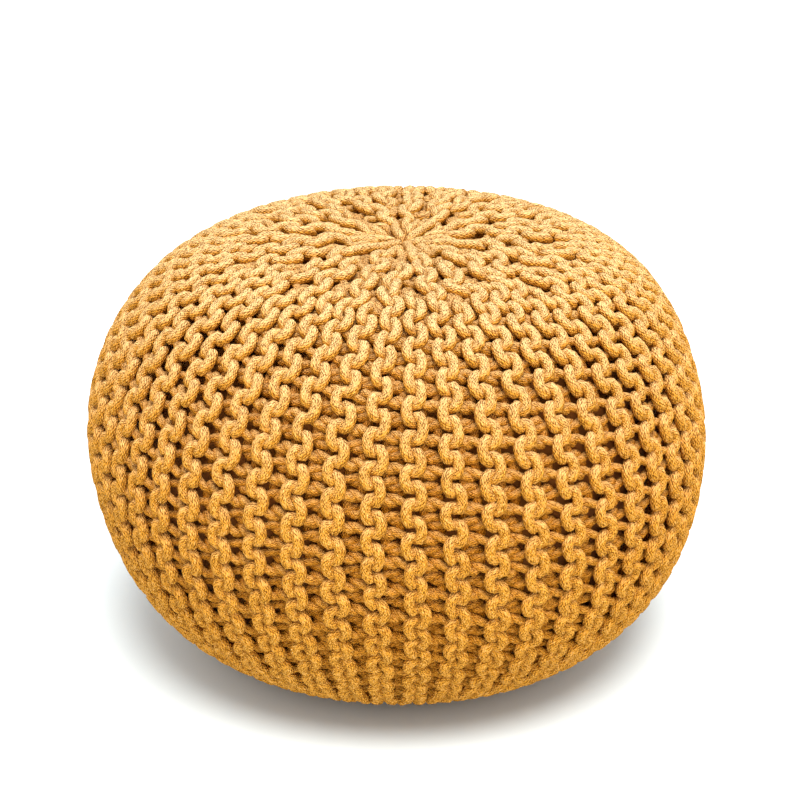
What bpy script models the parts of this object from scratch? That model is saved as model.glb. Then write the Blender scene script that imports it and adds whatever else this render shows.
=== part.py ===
"""Knitted pouf: a thick cord cover, drawn in at both poles, round a filled inner bag.

Metres, +Z up. The pouf stands on the plane z = 0, with its origin under its middle.
"""

import math

import bpy

# Driving dimensions, in metres
RADIUS = 0.260              # widest half-width, over the tops of the knitted ridges
CROWN_RISE = 0.174          # from the widest ring up to the crown
BASE_DROP = 0.188           # from the widest ring down to the floor
COVER_THICKNESS = 0.022     # ridge top to the back of the knit
BAG_GAP = 0.001             # clearance between the knit and the bag
RIDGE_COUNT = 52            # garter ridges that run from pole to pole
RIDGE_DEPTH = 0.006         # how far the valley lies under the ridge tops
EYE_RADIUS = 0.012          # hole left where the stitches are gathered
CROWN_DIMPLE = 0.006        # how far the top gather is drawn in
CROWN_DIMPLE_WIDTH = 0.042
BASE_DIMPLE = 0.006         # how far the bottom gather is drawn up
BASE_DIMPLE_RADIUS = 0.045

# How full the outline is: 2 is an ellipse, more is squarer
CROWN_FLATNESS = 4.0
CROWN_SHOULDER = 1.73
BASE_FLATNESS = 3.61
BASE_SHOULDER = 2.06
BASE_OVERSHOOT = 0.006      # how far the lower curve would pass the floor if it weren't flat

# Unevenness of a hand-filled piece
CROWN_LEAN = 0.005          # the crown's sideways shift, towards +X
BELLY_LEAN = 0.004          # the middle's sideways shift, towards -X
FOOT_LEAN = 0.0025          # the foot's sideways shift towards +X, and the shoulder's towards -X
LOBES = ((2, 0.0012, 3.1), (3, 0.0014, 3.1), (5, 0.0010, 0.2))    # waves round, depth, phase

OUTER_RINGS = (8, 7)        # rings above and below the widest ring
INNER_RINGS = (5, 4)
SEGMENTS_PER_RIDGE = 2      # one row of points on the crest, one in the valley

COVER_COLOUR = (218, 155, 68)
BAG_COLOUR = (150, 96, 38)


def linear(colour):
    """Turn an 8-bit sRGB colour into linear RGBA."""
    channels = [c / 255 for c in colour]
    return [c / 12.92 if c <= 0.04045 else ((c + 0.055) / 1.055) ** 2.4 for c in channels] + [1.0]


def cloth_material(name, colour, roughness):
    material = bpy.data.materials.new(name)
    material.use_nodes = True
    shader = material.node_tree.nodes["Principled BSDF"]
    shader.inputs["Base Color"].default_value = linear(colour)
    shader.inputs["Roughness"].default_value = roughness
    shader.inputs["Metallic"].default_value = 0.0
    return material


def crown_height(radius, inset):
    """Height of the crown's skin at a radius, with the gather's dimple."""
    share = radius / (RADIUS - inset)
    rise = (CROWN_RISE - inset) * (1 - share ** CROWN_FLATNESS) ** (1 / CROWN_SHOULDER)
    dimple = CROWN_DIMPLE * math.exp(-(radius / CROWN_DIMPLE_WIDTH) ** 2)
    return BASE_DROP + rise - dimple


def base_height(radius, inset):
    """Height of the flat base's skin at a radius, drawn up at the gather."""
    inside = max(0.0, 1 - (radius / BASE_DIMPLE_RADIUS) ** 2)
    return inset + BASE_DIMPLE * inside ** 2


def outline(inset, rings):
    """Points (radius, height) of the skin that lies `inset` inside the ridge tops.

    They run from the edge of the top gather, over the crown and the side, to the
    edge of the bottom gather.
    """
    above, below = rings
    wide = RADIUS - inset
    points = [(r, crown_height(r, inset)) for r in (EYE_RADIUS, 0.034, 0.066)]
    for step in range(1, above + 1):
        turn = math.radians(90) * (1 - step / above)
        radius = wide * math.cos(turn) ** (2 / CROWN_FLATNESS)
        points.append((radius, crown_height(min(radius, wide), inset)))
    depth = BASE_DROP + BASE_OVERSHOOT - inset
    flat_turn = math.asin(((BASE_DROP - inset) / depth) ** (BASE_SHOULDER / 2))
    for step in range(1, below + 1):
        turn = flat_turn * step / below
        radius = wide * math.cos(turn) ** (2 / BASE_FLATNESS)
        points.append((radius, BASE_DROP - depth * math.sin(turn) ** (2 / BASE_SHOULDER)))
    points += [(r, base_height(r, inset)) for r in (BASE_DIMPLE_RADIUS, EYE_RADIUS)]
    return points


def turned(name, points, closed, steps, material, collection):
    """Turn an outline round Z with a Screw modifier and make the result a mesh."""
    edges = [(i, i + 1) for i in range(len(points) - 1)]
    if closed:
        edges.append((len(points) - 1, 0))
    profile = bpy.data.meshes.new(name + "_profile")
    profile.from_pydata([(r, 0.0, z) for r, z in points], edges, [])
    blank = bpy.data.objects.new(name + "_profile", profile)
    collection.objects.link(blank)
    screw = blank.modifiers.new("Turn", "SCREW")
    screw.steps = steps
    screw.render_steps = steps
    screw.use_merge_vertices = True
    screw.merge_threshold = 0.0001
    bpy.context.view_layer.update()
    mesh = bpy.data.meshes.new_from_object(blank.evaluated_get(bpy.context.evaluated_depsgraph_get()))
    mesh.name = name
    bpy.data.objects.remove(blank)
    bpy.data.meshes.remove(profile)
    piece = bpy.data.objects.new(name, mesh)
    collection.objects.link(piece)
    mesh.materials.append(material)
    mesh.shade_smooth()
    return piece


def press_ridges(mesh):
    """Sink every second row of points of the outer skin, which leaves the crests standing."""
    segment = math.tau / (RIDGE_COUNT * SEGMENTS_PER_RIDGE)
    fade_start = 0.050
    fade_end = 0.110
    middle = BASE_DROP
    for vertex in mesh.vertices:
        x, y, z = vertex.co
        radius = math.hypot(x, y)
        row = round(math.atan2(y, x) / segment)
        if row % SEGMENTS_PER_RIDGE == 0 or not lies_on_outer_skin(radius, z):
            continue
        share = min(1.0, max(0.0, (radius - fade_start) / (fade_end - fade_start)))
        if z < middle:
            share *= min(1.0, z / (RIDGE_DEPTH * 5))
        towards = math.hypot(radius / RADIUS ** 2, (z - middle) / CROWN_RISE ** 2)
        out = radius / RADIUS ** 2 / towards
        up = (z - middle) / CROWN_RISE ** 2 / towards
        depth = RIDGE_DEPTH * share
        scale = (radius - out * depth) / radius
        vertex.co = (x * scale, y * scale, z - up * depth)


def lies_on_outer_skin(radius, height):
    """True within a millimetre of the skin at the ridge tops."""
    if height >= BASE_DROP:
        share = (radius / RADIUS) ** CROWN_FLATNESS
        share += (max(0.0, height - BASE_DROP) / CROWN_RISE) ** CROWN_SHOULDER
    else:
        share = (radius / RADIUS) ** BASE_FLATNESS
        share += ((BASE_DROP - height) / (BASE_DROP + BASE_OVERSHOOT)) ** BASE_SHOULDER
    return share > 0.985


def settle(mesh):
    """Give the filled shape its lean and its shallow lobes; the floor and the crown keep level."""
    height = BASE_DROP + CROWN_RISE
    for vertex in mesh.vertices:
        x, y, z = vertex.co
        around = math.atan2(y, x)
        rise = z / height
        bell = math.sin(math.pi * min(1.0, rise))
        bulge = sum(depth * math.sin(waves * around + phase) for waves, depth, phase in LOBES)
        scale = 1 + bulge * bell / RADIUS
        lean = CROWN_LEAN * rise * rise - BELLY_LEAN * bell
        lean += FOOT_LEAN * math.sin(math.tau * min(1.0, rise))
        vertex.co = (x * scale + lean, y * scale, z)


def centre_on_origin(cover, others):
    """Move the points so that the cover's box stands centred on the origin."""
    xs = [v.co.x for v in cover.data.vertices]
    ys = [v.co.y for v in cover.data.vertices]
    shift = ((min(xs) + max(xs)) / 2, (min(ys) + max(ys)) / 2)
    for piece in [cover] + others:
        for vertex in piece.data.vertices:
            vertex.co.x -= shift[0]
            vertex.co.y -= shift[1]


def main():
    for old in list(bpy.data.objects):
        bpy.data.objects.remove(old)
    collection = bpy.data.collections.new("knitted_pouf")
    bpy.context.scene.collection.children.link(collection)

    # The cover: its outer skin down the side, its back up again, open at both gathers
    wall = outline(0.0, OUTER_RINGS) + outline(COVER_THICKNESS, INNER_RINGS)[::-1]
    segments = RIDGE_COUNT * SEGMENTS_PER_RIDGE
    cord = cloth_material("cotton_cord", COVER_COLOUR, 0.9)
    cover = turned("knitted_cover", wall, True, segments, cord, collection)
    press_ridges(cover.data)

    # The filled bag that shows between the stitches, one segment to a ridge
    skin = outline(COVER_THICKNESS + BAG_GAP, INNER_RINGS)
    top = (0.0, crown_height(0.0, COVER_THICKNESS + BAG_GAP))
    bottom = (0.0, base_height(0.0, COVER_THICKNESS + BAG_GAP))
    lining = cloth_material("cotton_bag_cloth", BAG_COLOUR, 0.85)
    bag = turned("filled_inner_bag", [top] + skin + [bottom], False, RIDGE_COUNT, lining, collection)

    for piece in (cover, bag):
        settle(piece.data)
    centre_on_origin(cover, [bag])


main()
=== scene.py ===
"""Knitted pouf: thick cotton cord, garter knitted from pole to pole, over a filled cotton bag.

The file is laid out as an add-on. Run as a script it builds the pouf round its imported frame.
"""

import math

import bpy
import numpy as np
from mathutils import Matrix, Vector


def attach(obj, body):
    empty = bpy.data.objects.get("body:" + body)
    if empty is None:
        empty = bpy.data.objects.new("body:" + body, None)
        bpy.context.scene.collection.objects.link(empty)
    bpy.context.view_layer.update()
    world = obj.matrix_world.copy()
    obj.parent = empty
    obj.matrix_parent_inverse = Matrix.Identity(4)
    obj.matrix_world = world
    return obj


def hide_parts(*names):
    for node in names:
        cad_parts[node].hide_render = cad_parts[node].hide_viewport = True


bl_info = {
    "name": "Knitted pouf",
    "version": (1, 0, 0),
    "blender": (4, 5, 0),
    "location": "View3D > Sidebar > Pouf",
    "description": "Knits a cord pouf cover over a filled bag, with its materials and a plain studio",
    "category": "Add Mesh",
}

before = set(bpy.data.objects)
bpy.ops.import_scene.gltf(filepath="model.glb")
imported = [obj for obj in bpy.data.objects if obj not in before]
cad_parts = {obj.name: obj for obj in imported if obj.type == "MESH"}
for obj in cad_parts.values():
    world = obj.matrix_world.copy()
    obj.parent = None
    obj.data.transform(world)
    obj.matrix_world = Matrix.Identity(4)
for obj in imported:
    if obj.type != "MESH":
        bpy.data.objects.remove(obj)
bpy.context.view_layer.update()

# The skin over the ridge tops, in metres, as the frame's solids have it
RADIUS = 0.260
CROWN_RISE = 0.174          # from the widest ring up to the crown
BASE_DROP = 0.188           # from the widest ring down to the floor
CROWN_DIMPLE = 0.006
CROWN_DIMPLE_WIDTH = 0.042
BASE_DIMPLE = 0.006
BASE_DIMPLE_RADIUS = 0.045
CROWN_FLATNESS = 4.0        # 2 is an ellipse, more is squarer
CROWN_SHOULDER = 1.73
BASE_FLATNESS = 3.61
BASE_SHOULDER = 2.06
BASE_OVERSHOOT = 0.006      # how far the lower curve would pass the floor if it weren't flat
CROWN_LEAN = 0.005
BELLY_LEAN = 0.004
FOOT_LEAN = 0.0025
LOBES = ((2, 0.0012, 3.1), (3, 0.0014, 3.1), (5, 0.0010, 0.2))    # waves round, depth, phase

# How finely the meridian is worked out
FLAT_SHARE = 0.8            # the part of the crown, by radius, that is stepped evenly by radius
TABLE_STEPS = 1600
SMOOTHING = 25              # steps that the outward direction is averaged over

# Where the ridges end, as radii in metres, by their place in a group of four
RIDGE_GROUP = 4             # the first ridge of each group reaches the gathers
END_RADII = (0.010, 0.133, 0.062, 0.112)
SECOND_MAIN_RADIUS = 0.024  # every second ridge that reaches the pole stops a little short of it
END_UNEVENNESS = 0.005
END_FADE = 0.015            # half the length over which a short row makes room or closes up

# Stretch of the stitches, by the share of the way from crown to base
STRETCH_PLACES = (0, 0.06, 0.13, 0.2, 0.36, 0.5, 0.62, 0.8, 0.94, 1.0)
STRETCH = (1.8, 1.6, 1.15, 1.1, 1.06, 1.0, 0.88, 0.86, 1.1, 1.6)

# The shape of one stitch, in stitches, shares or metres
BEND_CROWDING = 0.035       # stitches by which the points crowd into the bends at feet and heads
TAPER = 0.9                 # stitches over which a row's end straightens out
LEG_LEAN = 0.35             # how much the bias turns the legs
REACH_BACK = 0.9            # crowded loops reach a row's width less this share of the cord's radius
LEAST_REACH = 0.0015
LOWER_SLACK = ((0.5, 0.75), (1.0, 1.22))        # share of the way down, how much fuller the loops are
BEND_START = 0.3            # share of the swing where the cord starts to go to the front or the back
BEND_LENGTH = 0.55          # share of the swing over which it gets there
LOOP_THICKNESS = 1.02       # thickness in the bends, as a share of the cord's
LEAST_RADIUS = 0.004        # keeps the rows' angles finite at the poles

# The gathers draw the stitches straight, then lay a ridge's two rows one over the other
DRAWN_RADIUS = 0.058
DRAWN_WIDTH = 0.030
STACKED_RADIUS = 0.036
STACKED_WIDTH = 0.018
DRAWN_FULLNESS = 0.8        # shares of a stitch's shape that the gather takes away
DRAWN_SWING = 0.75
DRAWN_RELIEF = 0.65

# Unevenness of hand work
ARC_UNEVENNESS = 0.0014
REACH_UNEVENNESS = 0.20
RELIEF_UNEVENNESS = 0.14
THICKNESS_UNEVENNESS = 0.02
DRIFT_ROUND = 0.0026
DRIFT_ALONG = 0.0030
DRIFT_HOLD = 0.02           # inside this radius the drift round grows no further as an angle
SEED = 11

SIDES = 8                   # facets round the cord
RUN_GAP = 0.0137            # left between two runs in the stored place along the cord

# Sizes of the patterns on the cloth, in metres; the fine ones are coarser than real fibres, to show
FIBRE = 1 / 1400            # 0.7 mm
FLECK = 1 / 900             # 1.1 mm
PLAIT_WANDER = 1 / 260      # 3.8 mm
DYE_BATCH = 1 / 9           # 110 mm
BAG_THREAD = 1 / 900        # 1.1 mm
BAG_BATCH = 1 / 14          # 70 mm

SEAM_WIDTH = 0.006          # of the bag's drawn-in seams

# The bag's cloth in the simulation
CLOTH_MASS = 0.2
CLOTH_QUALITY = 6
CLOTH_TENSION = 12
CLOTH_COMPRESSION = 6
CLOTH_SHEAR = 4
CLOTH_BENDING = 0.4

# The studio, in metres and degrees
FLOOR_SIZE = 16.0
FLOOR_GAP = 0.0005          # the floor lies this far under the pouf
AIM = (0.003, 0, BASE_DROP)     # what the camera looks at
SENSOR_WIDTH = 36.0         # millimetres
CAMERA_SHIFT = 0.0270       # share of the sensor's width
LAMP_DISTANCE = 2
KEY_DIRECTION = (0.09, -0.37, 1.0)
KEY_SPREAD = 34
FILL_DIRECTION = (0.4, -1.0, 0.1)
FILL_SPREAD = 60


# ---------------------------------------------------------------- shape of the pouf

def crown_height(radius):
    """Height of the crown over a radius, with the dimple that the gather pulls in."""
    share = np.clip(radius / RADIUS, 0, 1)
    rise = CROWN_RISE * (1 - share ** CROWN_FLATNESS) ** (1 / CROWN_SHOULDER)
    return BASE_DROP + rise - CROWN_DIMPLE * np.exp(-(radius / CROWN_DIMPLE_WIDTH) ** 2)


def base_height(radius):
    """Height of the flat base, drawn up a little at its gather."""
    return BASE_DIMPLE * np.clip(1 - (radius / BASE_DIMPLE_RADIUS) ** 2, 0, 1) ** 2


class Skin:
    """The meridian of the skin as a table by arc length, from the crown's pole to the base's."""

    def __init__(self):
        radius, height = self.meridian()
        arc = np.concatenate([[0], np.cumsum(np.hypot(np.diff(radius), np.diff(height)))])
        self.length = arc[-1]
        self.arc = np.linspace(0, self.length, TABLE_STEPS)
        self.radius = np.interp(self.arc, arc, radius)
        self.height = np.interp(self.arc, arc, height)
        along_r = np.gradient(self.radius, self.arc)
        along_z = np.gradient(self.height, self.arc)
        reach = np.hypot(along_r, along_z)
        smooth = np.ones(SMOOTHING) / SMOOTHING
        edge = SMOOTHING // 2
        self.out_r = np.convolve(np.pad(-along_z / reach, edge, mode="edge"), smooth, "valid")
        self.out_z = np.convolve(np.pad(along_r / reach, edge, mode="edge"), smooth, "valid")
        self.widest = self.arc[np.argmax(self.radius)]
        self.shift = np.zeros(3)
        ring = np.linspace(0, math.tau, 721)
        rim = self.place(ring, np.full(ring.shape, self.widest), np.zeros(ring.shape))
        middle = (rim.min(0) + rim.max(0)) / 2
        self.shift = np.array([middle[0], middle[1], 0])

    def meridian(self):
        """Radius and height at points down the skin: the crown, its shoulder, the side and the foot."""
        crown = np.linspace(0, FLAT_SHARE * RADIUS, 400)
        turn = np.linspace(math.acos(FLAT_SHARE ** (CROWN_FLATNESS / 2)), 0, 400)[1:]
        shoulder = np.clip(RADIUS * np.cos(turn) ** (2 / CROWN_FLATNESS), 0, RADIUS)
        drop = BASE_DROP + BASE_OVERSHOOT
        end = math.asin((BASE_DROP / drop) ** (BASE_SHOULDER / 2))
        turn = np.linspace(0, end, 500)[1:]
        side = RADIUS * np.cos(turn) ** (2 / BASE_FLATNESS)
        foot = np.linspace(side[-1], 0, 200)[1:]
        height = np.concatenate([
            crown_height(crown),
            crown_height(shoulder),
            BASE_DROP - drop * np.sin(turn) ** (2 / BASE_SHOULDER),
            base_height(foot),
        ])
        return np.concatenate([crown, shoulder, side, foot]), height

    def at(self, arc, name):
        """A column of the table, such as radius or height, at arc lengths."""
        return np.interp(arc, self.arc, getattr(self, name))

    def arc_at_crown(self, radius):
        """Arc length where the crown has this radius."""
        rising = self.arc <= self.widest
        return float(np.interp(radius, self.radius[rising], self.arc[rising]))

    def arc_at_base(self, radius):
        """Arc length where the base has this radius."""
        falling = self.arc >= self.widest
        return float(np.interp(radius, self.radius[falling][::-1], self.arc[falling][::-1]))

    def place(self, around, arc, depth):
        """Points in space for angles round, arc lengths, and depths outward from the skin."""
        radius = self.at(arc, "radius") + self.at(arc, "out_r") * depth
        z = self.at(arc, "height") + self.at(arc, "out_z") * depth
        rise = z / (BASE_DROP + CROWN_RISE)
        bell = np.sin(math.pi * np.clip(rise, 0, 1))
        sway = np.sin(math.tau * np.clip(rise, 0, 1))
        bulge = sum(deep * np.sin(waves * around + phase) for waves, deep, phase in LOBES)
        radius = radius * (1 + bulge * bell / RADIUS)
        lean = CROWN_LEAN * rise * rise - BELLY_LEAN * bell + FOOT_LEAN * sway
        x = radius * np.cos(around) + lean
        return np.stack([x, radius * np.sin(around), z], -1) - self.shift


def smoothstep(value):
    """A soft step from 0 to 1 as the value goes from 0 to 1."""
    value = np.clip(value, 0, 1)
    return value * value * (3 - 2 * value)


class Ripple:
    """A smooth, seeded unevenness over the skin, the same at both ends of a turn round."""

    def __init__(self, rng, waves, count=7):
        self.round = rng.integers(1, waves + 1, count)
        self.along = rng.uniform(4, 14, count)
        self.phase = rng.uniform(0, math.tau, count)

    def __call__(self, around, arc):
        total = sum(
            np.sin(n * around + k * arc + p)
            for n, k, p in zip(self.round, self.along, self.phase)
        )
        return total / math.sqrt(len(self.round))


# ---------------------------------------------------------------- the knitting

class Chart:
    """Where each garter ridge and each stitch lies on the skin.

    A ridge is two rows, each worked from one gather to the other. One ridge in four
    reaches the pole; the others are short rows that end further out, where the ridges
    would be too crowded.
    """

    def __init__(self, skin, knit):
        self.skin = skin
        self.knit = knit
        self.rng = np.random.default_rng(SEED)
        self.drift_round = Ripple(self.rng, 5)
        self.drift_along = Ripple(self.rng, 6)
        count = knit.ridge_count
        self.tops = np.array([self.end_arc(j, skin.arc_at_crown) for j in range(count)])
        self.bottoms = np.array([self.end_arc(j, skin.arc_at_base) for j in range(count)])
        self.spread()
        self.space_stitches()

    def end_arc(self, ridge, arc_at):
        """Arc length at which a ridge ends, from its place in its group of four."""
        radius = END_RADII[ridge % RIDGE_GROUP]
        if ridge % (2 * RIDGE_GROUP) == RIDGE_GROUP:
            radius = SECOND_MAIN_RADIUS
        elif ridge % RIDGE_GROUP:
            radius += self.rng.uniform(-END_UNEVENNESS, END_UNEVENNESS)
        return arc_at(radius)

    def spread(self):
        """Share the circumference out between the ridges that are still there, at each arc length."""
        arc = self.skin.arc
        count = self.knit.ridge_count
        width = np.ones((count, len(arc)))
        for j in range(count):
            if j % RIDGE_GROUP:
                width[j] *= smoothstep((arc - self.tops[j] + END_FADE) / (2 * END_FADE))
                width[j] *= smoothstep((self.bottoms[j] + END_FADE - arc) / (2 * END_FADE))
        total = width.sum(0)
        before = np.cumsum(width, 0) - width
        middle = (before + width / 2) / total * math.tau
        ideal = (np.arange(count) + 0.5) / count * math.tau
        mains = np.arange(0, count, RIDGE_GROUP)
        middle -= (middle[mains] - ideal[mains, None]).mean(0)
        self.ridge_angle = middle + math.radians(self.knit.turn)
        self.ridge_width = width / total * math.tau

    def space_stitches(self):
        """Number the stitches down the skin; they are longest where the filling stretches them."""
        arc = self.skin.arc
        stretch = np.interp(arc / self.skin.length, STRETCH_PLACES, STRETCH)
        pitch = stretch * self.knit.stitch_length
        steps = np.diff(arc) * 0.5 * (1 / pitch[1:] + 1 / pitch[:-1])
        self.stitch_no = np.concatenate([[0], np.cumsum(steps)])

    def row(self, ridge, side):
        """One row of a ridge as points (angle, arc, depth, thickness), crown to base.

        side is -1 for the row whose heads make the ridge and 1 for the row whose feet do.
        """
        knit = self.knit
        skin = self.skin
        rope = knit.cord_diameter / 2
        first = float(np.interp(self.tops[ridge], skin.arc, self.stitch_no))
        last = float(np.interp(self.bottoms[ridge], skin.arc, self.stitch_no))
        count = int(round((last - first) * knit.points_per_stitch))
        t = np.linspace(first, last, count + 1)
        # More points on the bends at the feet and heads than along the legs
        t = t - BEND_CROWDING * np.sin(4 * math.pi * (t - knit.bias * ridge))
        t = np.clip(t, first, last)
        taper = smoothstep((t - first) / TAPER) * smoothstep((last - t) / TAPER)
        theta = math.tau * (t - knit.bias * ridge)
        facing = np.cos(theta)
        nominal = skin.at(np.interp(t, self.stitch_no, skin.arc), "radius")
        drawn = smoothstep((DRAWN_RADIUS - nominal) / DRAWN_WIDTH)
        stacked = smoothstep((STACKED_RADIUS - nominal) / STACKED_WIDTH)
        wobble = self.row_wobble(t)

        # Along the row
        fullness = knit.overlap * np.sin(2 * theta) * (1 - DRAWN_FULLNESS * drawn)
        lean = knit.bias * (side / 4 - LEG_LEAN * facing) * (1 - drawn)
        along = t + (fullness + lean) * taper
        arc = np.interp(along, self.stitch_no, skin.arc) + ARC_UNEVENNESS * wobble[0] * taper
        radius = np.maximum(skin.at(arc, "radius"), LEAST_RADIUS)
        angle = np.interp(arc, skin.arc, self.ridge_angle[ridge])

        # Across the row, from loop to loop
        course = np.interp(arc, skin.arc, self.ridge_width[ridge]) * radius / 2
        reach = np.minimum(knit.reach, np.maximum(course - rope * REACH_BACK, LEAST_REACH))
        slack = np.interp(arc / skin.length, *LOWER_SLACK)
        reach = reach * slack * (1 + REACH_UNEVENNESS * wobble[1])
        swing = (course / 2 + reach) * taper * (1 - DRAWN_SWING * drawn)
        across = side * course / 2 * (1 - stacked) - swing * facing

        # In and out of the knit
        bend = smoothstep((np.abs(facing) - BEND_START) / BEND_LENGTH) * np.sign(facing)
        relief = knit.relief * (1 + RELIEF_UNEVENNESS * wobble[2]) * (1 - DRAWN_RELIEF * drawn)
        depth = -(rope + relief) + side * relief * bend * taper
        depth = depth - knit.lift * np.sin(theta) * (1 - np.abs(bend)) * taper * (1 - drawn)
        depth = depth - (1 + side) * rope * stacked

        thinned = LOOP_THICKNESS - knit.leg_thickness
        thick = knit.leg_thickness + thinned * np.maximum(np.abs(bend), drawn)
        thick = thick + THICKNESS_UNEVENNESS * wobble[3]
        return np.stack([angle + across / radius, arc, depth, thick], -1)

    def row_wobble(self, t):
        """Four slow waves along a row, each about -1 to 1, for the unevenness of hand work."""
        waves = []
        for _ in range(4):
            a, b, c = self.rng.uniform(0, math.tau, 3)
            waves.append((np.sin(2.1 * t + a) + np.sin(5.3 * t + b) + 0.7 * np.sin(9.7 * t + c)) / 2)
        return waves

    def turn_back(self, start, end, ahead):
        """Points of the bend that joins one row's end to the next row's, ahead of both."""
        radius = self.skin.at((start[1] + end[1]) / 2, "radius")
        gap = math.hypot((start[0] - end[0]) * radius, start[2] - end[2]) / 2
        turns = np.linspace(0, math.pi, 7)[1:-1]
        share = (1 - np.cos(turns)) / 2
        points = start[None] * (1 - share[:, None]) + end[None] * share[:, None]
        points[:, 1] += ahead * np.sin(turns) * gap
        return points

    def ridge_path(self, ridge):
        """The closed run of cord of one ridge, down one row and back up the other.

        It is given as points in space, with the cord's thickness and its depth at each.
        """
        down = self.row(ridge, 1)
        up = self.row(ridge, -1)[::-1]
        low = self.turn_back(down[-1], up[0], 1)
        high = self.turn_back(up[-1], down[0], -1)
        path = np.concatenate([down, low, up, high])
        around, arc, depth, thick = path.T
        radius = np.maximum(self.skin.at(arc, "radius"), DRIFT_HOLD)
        around = around + DRIFT_ROUND * self.drift_round(around, arc) / radius
        arc = np.clip(arc + DRIFT_ALONG * self.drift_along(around, arc), 0.0, self.skin.length)
        return self.skin.place(around, arc, depth), thick, depth


def make_object(name, data):
    """Link a new object and leave it as the only one selected."""
    piece = bpy.data.objects.new(name, data)
    bpy.context.scene.collection.objects.link(piece)
    bpy.ops.object.select_all(action="DESELECT")
    piece.select_set(True)
    bpy.context.view_layer.objects.active = piece
    return piece


def cord_mesh(name, runs, diameter):
    """Closed runs of cord as one bevelled curve, made a mesh that knows where along the cord it is."""
    curve = bpy.data.curves.new(name, "CURVE")
    curve.dimensions = "3D"
    curve.bevel_depth = diameter / 2
    curve.bevel_resolution = (SIDES - 4) // 2
    for points, thick, _ in runs:
        spline = curve.splines.new("POLY")
        spline.points.add(len(points) - 1)
        spline.points.foreach_set("co", np.hstack([points, np.ones((len(points), 1))]).ravel())
        spline.points.foreach_set("radius", thick)
        spline.use_cyclic_u = True
    make_object(name, curve)
    bpy.ops.object.convert(target="MESH")
    piece = bpy.context.view_layer.objects.active
    lay_out(piece.data, runs, diameter)
    bpy.ops.object.shade_smooth()
    return piece


def lay_out(mesh, runs, diameter):
    """Store each point's place on the straightened cord, along and across it, and its depth in the knit."""
    turn = math.tau * np.arange(SIDES) / SIDES
    across = np.stack([np.cos(turn), np.sin(turn)], -1) * diameter / 2
    places = []
    depths = []
    start = 0.0
    for points, _, depth in runs:
        steps = np.linalg.norm(np.diff(points, axis=0), axis=1)
        along = start + np.concatenate([[0], np.cumsum(steps)])
        start = along[-1] + RUN_GAP
        ring = np.repeat(along[:, None], SIDES, 1)[..., None]
        around = np.broadcast_to(across, ring.shape[:2] + (2,))
        places.append(np.concatenate([ring, around], -1).reshape(-1, 3))
        depths.append(np.repeat(depth, SIDES))
    for name, kind, field, rows in (
        ("cord_place", "FLOAT_VECTOR", "vector", places),
        ("cord_depth", "FLOAT", "value", depths),
    ):
        values = np.concatenate(rows).astype(np.float32)
        if len(values) != len(mesh.vertices):
            raise RuntimeError(f"the cord has {len(mesh.vertices)} points, and not {len(values)}")
        mesh.attributes.new(name, kind, "POINT").data.foreach_set(field, values.ravel())


# ---------------------------------------------------------------- materials

def hex_colour(code):
    """Linear RGB from an sRGB hex colour."""
    channels = [int(code[i:i + 2], 16) / 255 for i in (0, 2, 4)]
    return [c / 12.92 if c <= 0.04045 else ((c + 0.055) / 1.055) ** 2.4 for c in channels]


def add_node(tree, kind, inputs=None, **settings):
    """Add a node with its settings; an input is linked when it is given a socket, and else set."""
    node = tree.nodes.new("ShaderNode" + kind)
    for name, value in settings.items():
        setattr(node, name, value)
    for key, value in (inputs or {}).items():
        if isinstance(value, bpy.types.NodeSocket):
            tree.links.new(value, node.inputs[key])
        else:
            node.inputs[key].default_value = value
    return node


def new_material(name):
    """A new material, its nodes and its shader."""
    material = bpy.data.materials.new(name)
    material.use_nodes = True
    return material, material.node_tree, material.node_tree.nodes["Principled BSDF"]


def braid(tree, place, finish):
    """Yarns that cross each other round the cord: 1 on top of a yarn, 0 in the grooves between."""
    axes = add_node(tree, "SeparateXYZ", {0: place}).outputs
    noise = add_node(tree, "TexNoise", {"Vector": place, "Scale": 1 / PLAIT_WANDER, "Detail": 1.0})
    steps = add_node(tree, "Math", {0: axes[0], 1: finish.plait_length}, operation="DIVIDE").outputs[0]
    wander = add_node(tree, "Math", {0: noise.outputs[0], 1: 1.1}, operation="MULTIPLY").outputs[0]
    along = add_node(tree, "Math", {0: steps, 1: wander}, operation="ADD").outputs[0]
    angle = add_node(tree, "Math", {0: axes[2], 1: axes[1]}, operation="ARCTAN2").outputs[0]
    strands = finish.strands / math.tau
    around = add_node(tree, "Math", {0: angle, 1: strands}, operation="MULTIPLY").outputs[0]
    yarns = []
    for way in ("ADD", "SUBTRACT"):
        phase = add_node(tree, "Math", {0: along, 1: around}, operation=way).outputs[0]
        turns = add_node(tree, "Math", {0: phase, 1: math.pi}, operation="MULTIPLY").outputs[0]
        wave = add_node(tree, "Math", {0: turns}, operation="SINE").outputs[0]
        yarns.append(add_node(tree, "Math", {0: wave}, operation="ABSOLUTE").outputs[0])
    return add_node(tree, "Math", dict(enumerate(yarns)), operation="MULTIPLY").outputs[0]


def painted_top_highlight(tree, where):
    """A share from 0 to 1 for a painted highlight that makes the cord paler: upward faces, towards the
    crown.
    """
    normal = add_node(tree, "TexCoord").outputs["Normal"]
    facing = add_node(tree, "SeparateXYZ", {0: normal}).outputs[2]
    height = add_node(tree, "SeparateXYZ", {0: where}).outputs[2]
    shares = []
    for value, low, high in ((facing, 0.1, 0.9), (height, 0.10, 0.40)):
        inputs = {"Value": value, "From Min": low, "From Max": high}
        shares.append(add_node(tree, "MapRange", inputs, clamp=True).outputs[0])
    return add_node(tree, "Math", dict(enumerate(shares)), operation="MULTIPLY").outputs[0]


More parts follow.
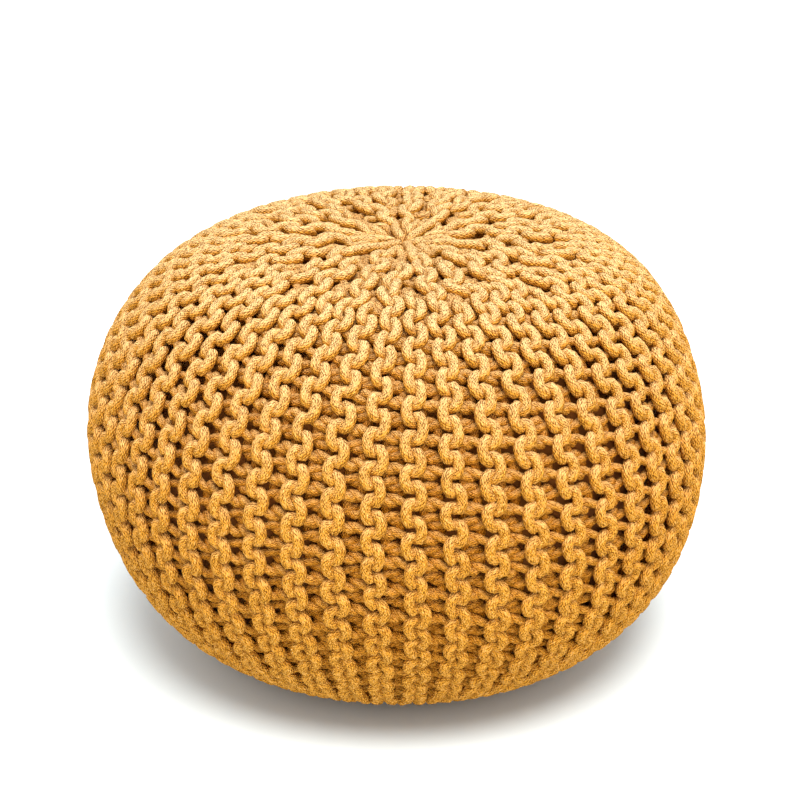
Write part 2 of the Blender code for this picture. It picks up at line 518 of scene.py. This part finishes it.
def cotton_cord(finish):
    """Dyed cotton cord, braided of soft yarns: matt, with painted shade in small pits where the yarns dip,
    in the grooves between the yarns and deep in the knit, and a painted highlight on upward faces towards
    the crown.
    """
    material, tree, shader = new_material("braided_cotton_cord")
    place = add_node(tree, "Attribute", attribute_name="cord_place").outputs["Vector"]
    depth = add_node(tree, "Attribute", attribute_name="cord_depth").outputs["Fac"]
    where = add_node(tree, "TexCoord").outputs["Object"]
    yarns = braid(tree, place, finish)

    # Fibres drawn out along the cord, and pits in and beside the grooves between the yarns
    drawn = add_node(tree, "Mapping", {"Vector": place, "Scale": (0.55, 1, 1)}).outputs[0]
    fibre = {"Vector": drawn, "Scale": 1 / FIBRE, "Detail": 1.0, "Roughness": 0.7}
    fibre = add_node(tree, "TexNoise", fibre).outputs[0]
    fleck = {"Vector": drawn, "Scale": 1 / FLECK, "Detail": 1.0, "Roughness": 0.6}
    fleck = add_node(tree, "TexNoise", fleck).outputs[0]
    yarn = {"Value": yarns, "From Min": 0.0, "From Max": 0.45}
    yarn = add_node(tree, "MapRange", yarn, clamp=True).outputs[0]
    groove = add_node(tree, "Math", {0: 1.0, 1: yarn}, operation="SUBTRACT").outputs[0]
    near_groove = add_node(tree, "Math", {0: groove, 1: 0.6, 2: 0.4}, operation="MULTIPLY_ADD").outputs[0]
    dark = {"Value": fleck, "From Min": 0.50, "From Max": 0.58}
    dark = add_node(tree, "MapRange", dark, clamp=True).outputs[0]
    pit = add_node(tree, "Math", {0: dark, 1: near_groove}, operation="MULTIPLY").outputs[0]

    # Painted shade where the cord lies deep in the knit, and a darker dye that falls unevenly from place to
    # place
    painted_recess_shade = {"Value": depth, "From Min": -0.004, "From Max": -0.016}
    painted_recess_shade = add_node(tree, "MapRange", painted_recess_shade, clamp=True).outputs[0]
    batch = {"Vector": where, "Scale": 1 / DYE_BATCH, "Detail": 1.0}
    batch = add_node(tree, "TexNoise", batch).outputs[0]
    deep_painted_shade = add_node(tree, "Math", {0: painted_recess_shade, 1: 0.7}, operation="MULTIPLY").outputs[0]
    dye = add_node(tree, "Math", {0: batch, 1: 0.3, 2: deep_painted_shade}, operation="MULTIPLY_ADD").outputs[0]

    # Pale fibres at random, and a painted highlight on upward faces towards the crown; both fewer deep in
    # the knit, where shade is painted
    painted_highlight = painted_top_highlight(tree, where)
    loose = {"Value": fleck, "From Min": 0.47, "From Max": 0.34}
    loose = add_node(tree, "MapRange", loose, clamp=True).outputs[0]
    pale = add_node(tree, "Math", {0: loose, 1: 0.22, 2: painted_highlight}, operation="MULTIPLY_ADD").outputs[0]
    painted_shade_dimming = add_node(tree, "Math", {0: painted_recess_shade, 1: -0.65, 2: 0.92}, operation="MULTIPLY_ADD").outputs[0]
    pale = add_node(tree, "Math", {0: pale, 1: painted_shade_dimming}, operation="MULTIPLY").outputs[0]
    # Painted shade in the grooves between the yarns and in the pits
    painted_groove_shade = add_node(tree, "Math", {0: groove, 1: 0.40}, operation="MULTIPLY").outputs[0]
    painted_pit_shade = add_node(tree, "Math", {0: pit, 1: 0.75}, operation="MULTIPLY").outputs[0]
    colour = (*finish.cord_colour, 1)
    # Mixed over the cord's colour in turn: dye batches with painted recess shade, pale fibres with a
    # painted highlight, painted shade in the grooves, painted shade in the pits
    for share, over in (
        (dye, finish.batch_and_painted_shade_colour),
        (pale, finish.pale_fibre_and_painted_highlight_colour),
        (painted_groove_shade, finish.painted_pit_and_groove_shade_colour),
        (painted_pit_shade, finish.painted_pit_and_groove_shade_colour),
    ):
        colour = add_node(tree, "Mix", {0: share, 6: colour, 7: (*over, 1)}, data_type="RGBA").outputs[2]
    tree.links.new(colour, shader.inputs["Base Color"])

    fuzzy = add_node(tree, "Math", {0: fibre, 1: 0.5, 2: yarns}, operation="MULTIPLY_ADD").outputs[0]
    hollow = add_node(tree, "Math", {0: pit, 1: 0.8}, operation="MULTIPLY").outputs[0]
    relief = add_node(tree, "Math", {0: fuzzy, 1: hollow}, operation="SUBTRACT").outputs[0]
    bump = add_node(tree, "Bump", {"Height": relief, "Strength": 1.0, "Distance": 0.0010}).outputs[0]
    tree.links.new(bump, shader.inputs["Normal"])
    shader.inputs["Roughness"].default_value = 0.9
    shader.inputs["Specular IOR Level"].default_value = 0.05
    return material


def cotton_bag_cloth(finish):
    """Plain woven cotton, dyed darker than the cord: fine threads one over the other, quite matt."""
    material, tree, shader = new_material("plain_woven_cotton")
    where = add_node(tree, "TexCoord").outputs["Object"]
    weave = {"Vector": where, "Scale": 1 / BAG_THREAD, "Detail": 2.0}
    weave = add_node(tree, "TexNoise", weave).outputs[0]
    soft = {"Vector": where, "Scale": 1 / BAG_BATCH, "Detail": 2.0}
    soft = add_node(tree, "TexNoise", soft).outputs[0]
    colour = {0: soft, 6: (*finish.bag_colour, 1), 7: (*finish.bag_shade, 1)}
    colour = add_node(tree, "Mix", colour, data_type="RGBA").outputs[2]
    tree.links.new(colour, shader.inputs["Base Color"])
    bump = add_node(tree, "Bump", {"Height": weave, "Strength": 0.3, "Distance": 0.0003}).outputs[0]
    tree.links.new(bump, shader.inputs["Normal"])
    shader.inputs["Roughness"].default_value = 0.85
    shader.inputs["Sheen Weight"].default_value = 0.2
    return material


def floor_paint():
    """Matt emulsion paint, faintly cool: no gloss to mirror the pouf."""
    material, _, shader = new_material("matt_white_paint")
    shader.inputs["Base Color"].default_value = (*hex_colour("DEECF8"), 1)
    shader.inputs["Roughness"].default_value = 0.9
    shader.inputs["Specular IOR Level"].default_value = 0.1
    return material


# ---------------------------------------------------------------- settings

class PoufKnit(bpy.types.PropertyGroup):
    cord_diameter: bpy.props.FloatProperty(
        name="Cord diameter", description="Thickness of the cotton cord", default=0.0086, unit="LENGTH")
    ridge_count: bpy.props.IntProperty(
        name="Ridges", description="Garter ridges round the pouf, a multiple of the gores", default=52)
    gore_count: bpy.props.IntProperty(
        name="Gores", description="Parts that the cover is made in", default=13)
    stitch_length: bpy.props.FloatProperty(
        name="Stitch length", description="From one stitch to the next along a row, at the side",
        default=0.0248, unit="LENGTH")
    reach: bpy.props.FloatProperty(
        name="Reach", description="How far a loop passes the line between two rows",
        default=0.0059, unit="LENGTH")
    relief: bpy.props.FloatProperty(
        name="Relief", description="How far loops stand before and behind the middle of the knit",
        default=0.0056, unit="LENGTH")
    leg_thickness: bpy.props.FloatProperty(
        name="Leg thickness", description="How thick the stretched legs are, as a share of the cord",
        default=0.77, subtype="FACTOR")
    overlap: bpy.props.FloatProperty(
        name="Loop fullness", description="How much wider a loop is than its neck, in stitches",
        default=0.21)
    bias: bpy.props.FloatProperty(
        name="Bias", description="How far each ridge's stitches lie below the last one's, in stitches",
        default=8 / 52)
    lift: bpy.props.FloatProperty(
        name="Lift", description="How far one leg of a stitch stands before the other",
        default=0.0015, unit="LENGTH")
    points_per_stitch: bpy.props.IntProperty(
        name="Points", description="Points along the cord in each stitch", default=18)
    turn: bpy.props.FloatProperty(
        name="Turn", description="Turn of the ridges round the pouf, in degrees", default=0.0)


class PoufBag(bpy.types.PropertyGroup):
    grain: bpy.props.FloatProperty(
        name="Grain", description="Size of the cloth's squares in the simulation",
        default=0.0075, unit="LENGTH")
    loft: bpy.props.FloatProperty(
        name="Loft", description="How far the bag is cut outside its solid",
        default=0.0028, unit="LENGTH")
    pressure: bpy.props.FloatProperty(
        name="Pressure", description="How hard the filling presses on the cloth", default=4.0)
    bulge: bpy.props.FloatProperty(
        name="Bulge", description="How far the filling may move the cloth",
        default=0.0012, unit="LENGTH")
    frames: bpy.props.IntProperty(
        name="Frames", description="Steps of the simulation", default=20)
    panels: bpy.props.IntProperty(
        name="Panels", description="Panels that the bag is sewn from", default=8)
    seam: bpy.props.FloatProperty(
        name="Seam", description="How far the seams are drawn in", default=0.0012, unit="LENGTH")


class PoufFinish(bpy.types.PropertyGroup):
    cord_colour: bpy.props.FloatVectorProperty(
        name="Cord", description="Dyed cotton cord", subtype="COLOR", default=hex_colour("ECA83C"))
    # The darker cord colour: uneven dye batches, and painted shade where the cord lies deep in the knit
    batch_and_painted_shade_colour: bpy.props.FloatVectorProperty(
        name="Cord shade", description="Where the dye took more", subtype="COLOR",
        default=hex_colour("BE7206"))
    # Painted shade in the grooves between the yarns and in the pits
    painted_pit_and_groove_shade_colour: bpy.props.FloatVectorProperty(
        name="Flecks", description="Between strands and fibres", subtype="COLOR",
        default=hex_colour("703204"))
    # Pale fibres at random, and the painted highlight on upward faces towards the crown
    pale_fibre_and_painted_highlight_colour: bpy.props.FloatVectorProperty(
        name="Pale fibres", description="Loose fibres that catch the light", subtype="COLOR",
        default=hex_colour("FADCA4"))
    bag_colour: bpy.props.FloatVectorProperty(
        name="Bag", description="Woven cotton of the bag", subtype="COLOR",
        default=hex_colour("A8620C"))
    bag_shade: bpy.props.FloatVectorProperty(
        name="Bag shade", description="Where the bag's dye took more", subtype="COLOR",
        default=hex_colour("8C4C08"))
    strands: bpy.props.IntProperty(
        name="Strands", description="Strands each way round the braided cord", default=11)
    plait_length: bpy.props.FloatProperty(
        name="Plait length", description="Along the cord from one strand to the next",
        default=0.0032, unit="LENGTH")


class PoufStage(bpy.types.PropertyGroup):
    distance: bpy.props.FloatProperty(
        name="Camera distance", description="From the middle of the widest ring",
        default=1.69, unit="LENGTH")
    elevation: bpy.props.FloatProperty(
        name="Camera elevation", description="Above the horizon, in degrees", default=24.4)
    lens: bpy.props.FloatProperty(
        name="Lens", description="Focal length in millimetres", default=89.5)
    key_strength: bpy.props.FloatProperty(
        name="Key light", description="Broad light from overhead, a little from the front",
        default=4.3)
    fill_strength: bpy.props.FloatProperty(
        name="Fill light", description="Low, soft light from the front, kept off the floor",
        default=1.7)
    sky: bpy.props.FloatProperty(
        name="Sky", description="Even light from all round", default=1.1)


# ---------------------------------------------------------------- operators

class POUF_OT_knit_cover(bpy.types.Operator):
    """Knit the cover: thirteen gores of garter ridges, each ridge two rows of looped cord"""
    bl_idname = "pouf.knit_cover"
    bl_label = "Knit the cover"

    def execute(self, context):
        knit = context.scene.pouf_knit
        material = cotton_cord(context.scene.pouf_finish)
        chart = Chart(Skin(), knit)
        per_gore = knit.ridge_count // knit.gore_count
        for gore in range(knit.gore_count):
            ridges = range(gore * per_gore, (gore + 1) * per_gore)
            runs = [chart.ridge_path(j) for j in ridges]
            piece = cord_mesh(f"knitted_gore_{gore + 1}", runs, knit.cord_diameter)
            piece.data.materials.append(material)
            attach(piece, "root")
            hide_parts("knitted_cover")
        return {"FINISHED"}


class POUF_OT_fill_bag(bpy.types.Operator):
    """Sew the bag, let its filling press it out as cloth, and draw in its seams"""
    bl_idname = "pouf.fill_bag"
    bl_label = "Fill the bag"

    def execute(self, context):
        bag = context.scene.pouf_bag
        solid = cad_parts["filled_inner_bag"]
        piece = make_object("filled_bag", solid.data.copy())
        piece.matrix_world = solid.matrix_world
        bpy.ops.object.transform_apply(location=True, rotation=True, scale=True)
        self.cut(piece, bag)
        self.fill(context, piece, bag)
        bpy.ops.object.shade_smooth()
        piece.data.materials.clear()
        piece.data.materials.append(cotton_bag_cloth(context.scene.pouf_finish))
        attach(piece, "root")
        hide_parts("filled_inner_bag")
        return {"FINISHED"}

    def cut(self, piece, bag):
        """Cut the bag to lie against the back of the knit, in even squares of cloth."""
        bpy.ops.object.mode_set(mode="EDIT")
        bpy.ops.mesh.select_all(action="SELECT")
        bpy.ops.mesh.remove_doubles(threshold=0.0001)
        bpy.ops.mesh.normals_make_consistent(inside=False)
        bpy.ops.transform.shrink_fatten(value=bag.loft)
        bpy.ops.object.mode_set(mode="OBJECT")
        piece.data.remesh_voxel_size = bag.grain
        bpy.ops.object.voxel_remesh()

    def fill(self, context, piece, bag):
        """Blow the cloth up from inside, keep it by its solid, and draw in the seams."""
        before = read_vectors(piece.data.vertices, "co")
        outward = read_vectors(piece.data.vertex_normals, "vector")
        self.blow_up(context, piece, bag)
        after = read_vectors(piece.data.vertices, "co")
        moved = ((after - before) * outward).sum(1)
        moved = np.clip(moved, -bag.bulge, bag.bulge)
        around = np.arctan2(before[:, 1], before[:, 0])
        off_seam = np.abs(np.sin(around * bag.panels / 2)) * np.hypot(before[:, 0], before[:, 1])
        groove = bag.seam * np.exp(-(off_seam / (SEAM_WIDTH * bag.panels / 2)) ** 2)
        points = before + outward * (moved - groove)[:, None]
        piece.data.vertices.foreach_set("co", points.astype(np.float32).ravel())
        piece.data.update()
        bpy.ops.object.modifier_add(type="SUBSURF")
        piece.modifiers[-1].levels = 1
        bpy.ops.object.modifier_apply(modifier=piece.modifiers[-1].name)

    def blow_up(self, context, piece, bag):
        """Run the cloth simulation and apply it to the mesh."""
        bpy.ops.object.modifier_add(type="CLOTH")
        cloth = piece.modifiers[-1]
        settings = cloth.settings
        settings.quality = CLOTH_QUALITY
        settings.mass = CLOTH_MASS
        settings.tension_stiffness = CLOTH_TENSION
        settings.compression_stiffness = CLOTH_COMPRESSION
        settings.shear_stiffness = CLOTH_SHEAR
        settings.bending_stiffness = CLOTH_BENDING
        settings.use_pressure = True
        settings.uniform_pressure_force = bag.pressure
        settings.effector_weights.gravity = 0.0
        cloth.collision_settings.use_self_collision = False
        cloth.point_cache.frame_start = 1
        cloth.point_cache.frame_end = bag.frames
        for step in range(1, bag.frames + 1):
            context.scene.frame_set(step)
        bpy.ops.object.modifier_apply(modifier=cloth.name)
        context.scene.frame_set(1)


def read_vectors(items, field):
    """A mesh's points or normals as rows of x, y and z."""
    values = np.zeros(len(items) * 3, dtype=np.float32)
    items.foreach_get(field, values)
    return values.reshape(-1, 3).astype(float)


class POUF_OT_set_stage(bpy.types.Operator):
    """Set the pale floor, the soft lights and the camera"""
    bl_idname = "pouf.set_stage"
    bl_label = "Set the stage"

    def execute(self, context):
        stage = context.scene.pouf_stage
        bpy.ops.object.select_all(action="DESELECT")
        bpy.ops.mesh.primitive_plane_add(size=FLOOR_SIZE, location=(0, 0, -FLOOR_GAP))
        floor = context.object
        floor.name = "studio_floor"
        floor.data.materials.append(floor_paint())
        self.add_lamp("key_light", KEY_DIRECTION, KEY_SPREAD, stage.key_strength)
        fill = self.add_lamp("fill_light", FILL_DIRECTION, FILL_SPREAD, stage.fill_strength)
        self.keep_off(fill, floor)
        self.light_sky(context.scene, stage)
        self.place_camera(context.scene, stage)
        context.scene.view_settings.view_transform = "Standard"
        return {"FINISHED"}

    def add_lamp(self, name, direction, spread, strength):
        """A distant lamp from a direction, as broad as its spread in degrees."""
        light = bpy.data.lights.new(name, "SUN")
        light.angle = math.radians(spread)
        light.energy = strength
        light.color = hex_colour("FFF6E8")
        lamp = bpy.data.objects.new(name, light)
        bpy.context.scene.collection.objects.link(lamp)
        lamp.location = Vector(direction) * LAMP_DISTANCE
        lamp.rotation_euler = Vector(direction).to_track_quat("Z", "Y").to_euler()
        return lamp

    def keep_off(self, lamp, piece):
        """Keep a lamp's light off one piece, as a flag on a stand does."""
        flag = bpy.data.collections.new(f"{lamp.name}_flag")
        flag.objects.link(piece)
        flag.collection_objects[0].light_linking.link_state = "EXCLUDE"
        lamp.light_linking.receiver_collection = flag

    def light_sky(self, scene, stage):
        """Even, faintly warm light from all round."""
        world = bpy.data.worlds.new("studio")
        scene.world = world
        world.use_nodes = True
        background = world.node_tree.nodes["Background"]
        background.inputs["Color"].default_value = (*hex_colour("FFFBF4"), 1)
        background.inputs["Strength"].default_value = stage.sky

    def place_camera(self, scene, stage):
        """A camera in front of the pouf, aimed at the middle of its widest ring."""
        lens = bpy.data.cameras.new("camera")
        lens.lens = stage.lens
        lens.sensor_width = SENSOR_WIDTH
        lens.shift_y = CAMERA_SHIFT
        camera = bpy.data.objects.new("camera", lens)
        scene.collection.objects.link(camera)
        middle = Vector(AIM)
        tilt = math.radians(stage.elevation)
        camera.location = middle + Vector((0, -math.cos(tilt), math.sin(tilt))) * stage.distance
        camera.rotation_euler = (middle - camera.location).to_track_quat("-Z", "Y").to_euler()
        scene.camera = camera


class POUF_PT_panel(bpy.types.Panel):
    """The pouf's parts and their sizes"""
    bl_idname = "POUF_PT_panel"
    bl_label = "Knitted pouf"
    bl_space_type = "VIEW_3D"
    bl_region_type = "UI"
    bl_category = "Pouf"

    def draw(self, context):
        layout = self.layout
        for operator in OPERATORS:
            layout.operator(operator.bl_idname)
        for name in SETTINGS:
            group = getattr(context.scene, name)
            for field in group.__annotations__:
                layout.prop(group, field)


OPERATORS = (POUF_OT_knit_cover, POUF_OT_fill_bag, POUF_OT_set_stage)
SETTINGS = {
    "pouf_knit": PoufKnit,
    "pouf_bag": PoufBag,
    "pouf_finish": PoufFinish,
    "pouf_stage": PoufStage,
}


def register():
    for group in SETTINGS.values():
        bpy.utils.register_class(group)
    for name, group in SETTINGS.items():
        setattr(bpy.types.Scene, name, bpy.props.PointerProperty(type=group))
    for operator in OPERATORS:
        bpy.utils.register_class(operator)
    bpy.utils.register_class(POUF_PT_panel)


def unregister():
    bpy.utils.unregister_class(POUF_PT_panel)
    for operator in reversed(OPERATORS):
        bpy.utils.unregister_class(operator)
    for name, group in SETTINGS.items():
        delattr(bpy.types.Scene, name)
        bpy.utils.unregister_class(group)


def main():
    register()
    bpy.ops.pouf.set_stage()
    bpy.ops.pouf.fill_bag()
    bpy.ops.pouf.knit_cover()


if __name__ == "__main__":
    main()
